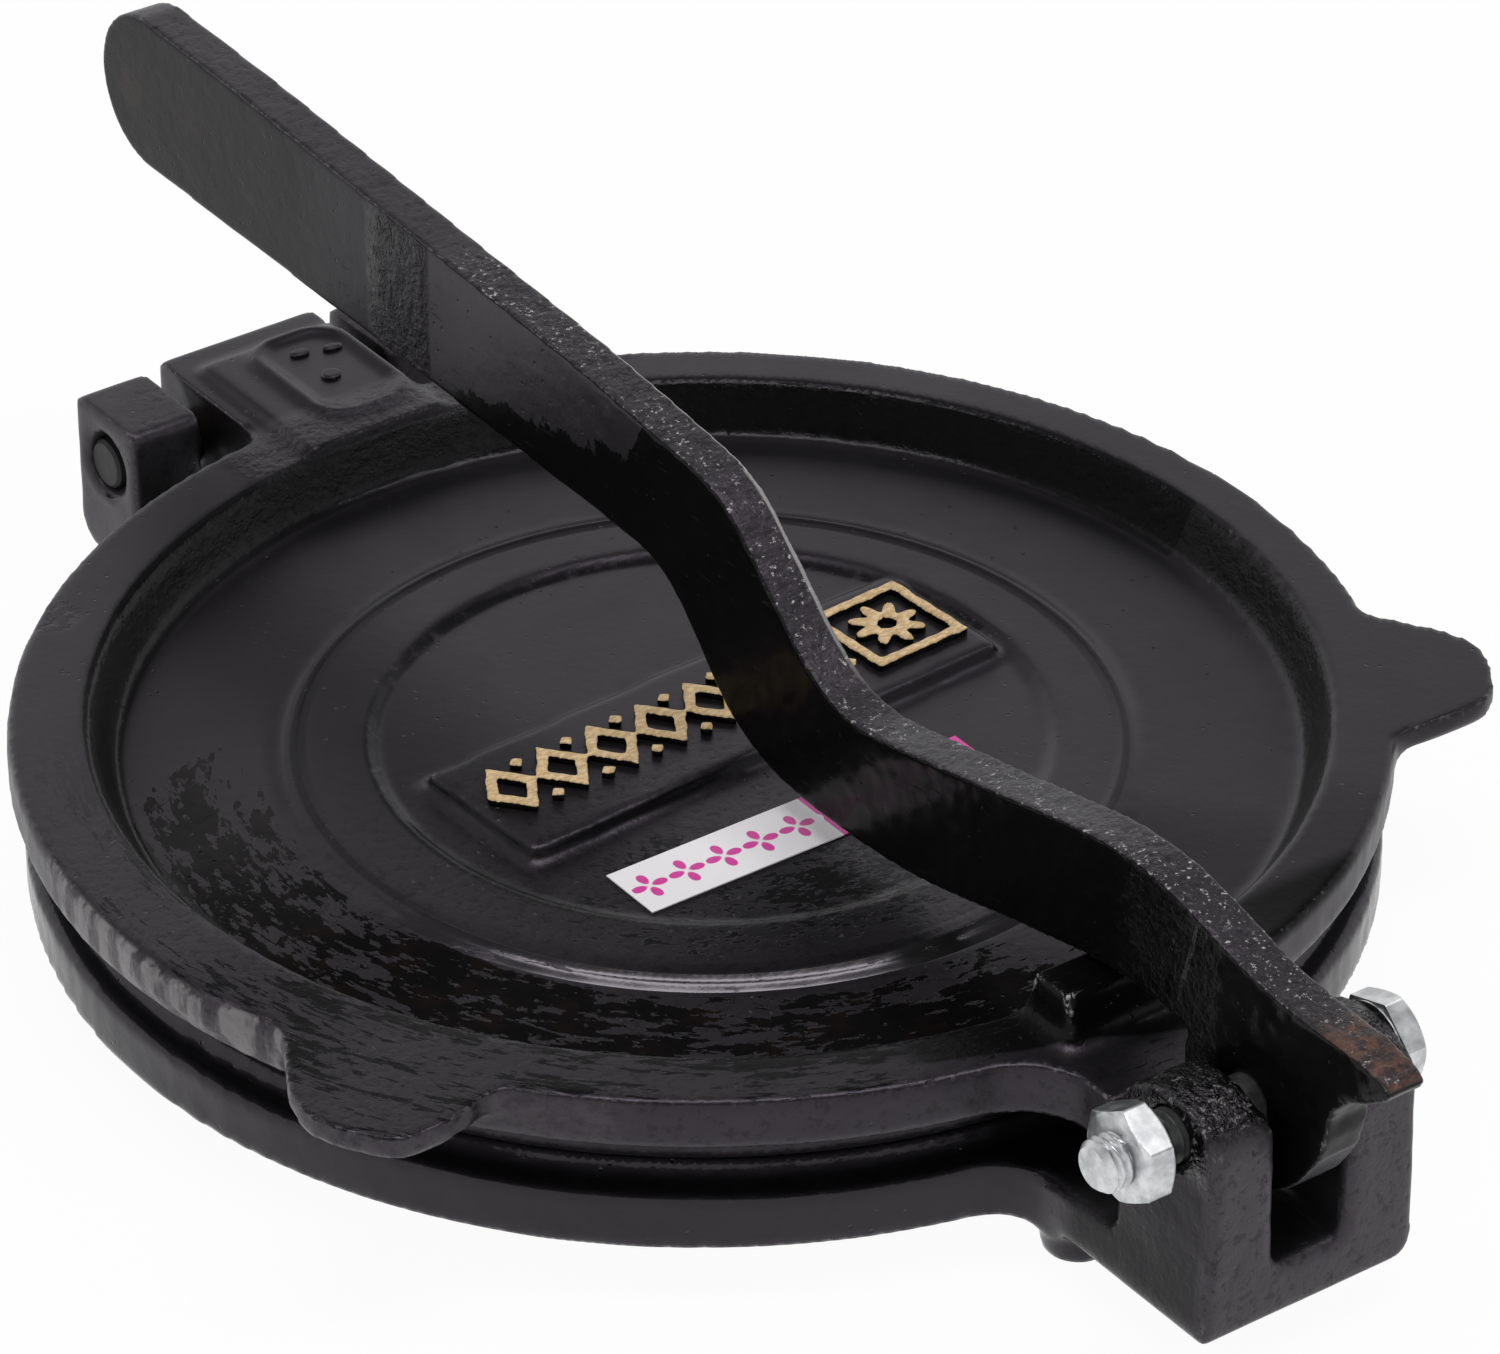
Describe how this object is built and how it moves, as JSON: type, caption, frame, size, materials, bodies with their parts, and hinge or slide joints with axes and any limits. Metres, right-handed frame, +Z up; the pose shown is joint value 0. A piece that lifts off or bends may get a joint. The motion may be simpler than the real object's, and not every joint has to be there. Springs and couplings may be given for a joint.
{
  "type": "tortilla press",
  "caption": "Cast iron tortilla press: round base and hinged upper plate squeezed together by a bent flat lever that pivots on a bolt in a front fork.",
  "frame": {"origin": "centre of the round plates, on the plane the feet stand on", "axes": "+Z up, +Y from the lever's fork towards the rear hinge and the handle end, +X towards the bolt's head"},
  "size_m": [0.2048, 0.316, 0.0816],
  "materials": {
    "black_casting": "black enamel over rough sand-cast iron, semi-gloss with wet-looking runs",
    "black_lever": "black enamel over rough cast iron, worn and pitted along the edges",
    "bright_steel": "bright zinc plating",
    "dark_steel": "dull dark steel, painted over at the ends",
    "label_film": "glossy printed film"
  },
  "bodies": {
    "base": {"base_plate": "black_casting", "pivot_bolt": "bright_steel", "pivot_nut": "bright_steel", "hinge_pin": "dark_steel"},
    "top": {"upper_plate": "black_casting", "label": "label_film"},
    "lever": {"lever": "black_lever"}
  },
  "joints": [
    {"name": "lever_pivot", "type": "hinge", "parent": "base", "child": "lever", "pos_m": [0, -0.1288, 0.0354], "axis": [1, 0, 0], "range_deg": [0, 90]},
    {"name": "plate_hinge", "type": "hinge", "parent": "base", "child": "top", "pos_m": [0, 0.1215, 0.0215], "axis": [-1, 0, 0], "range_deg": [0, 110]}
  ],
  "couplings": [
    {"joint": "plate_hinge", "follows": "lever_pivot", "ratio": 0.14}
  ]
}
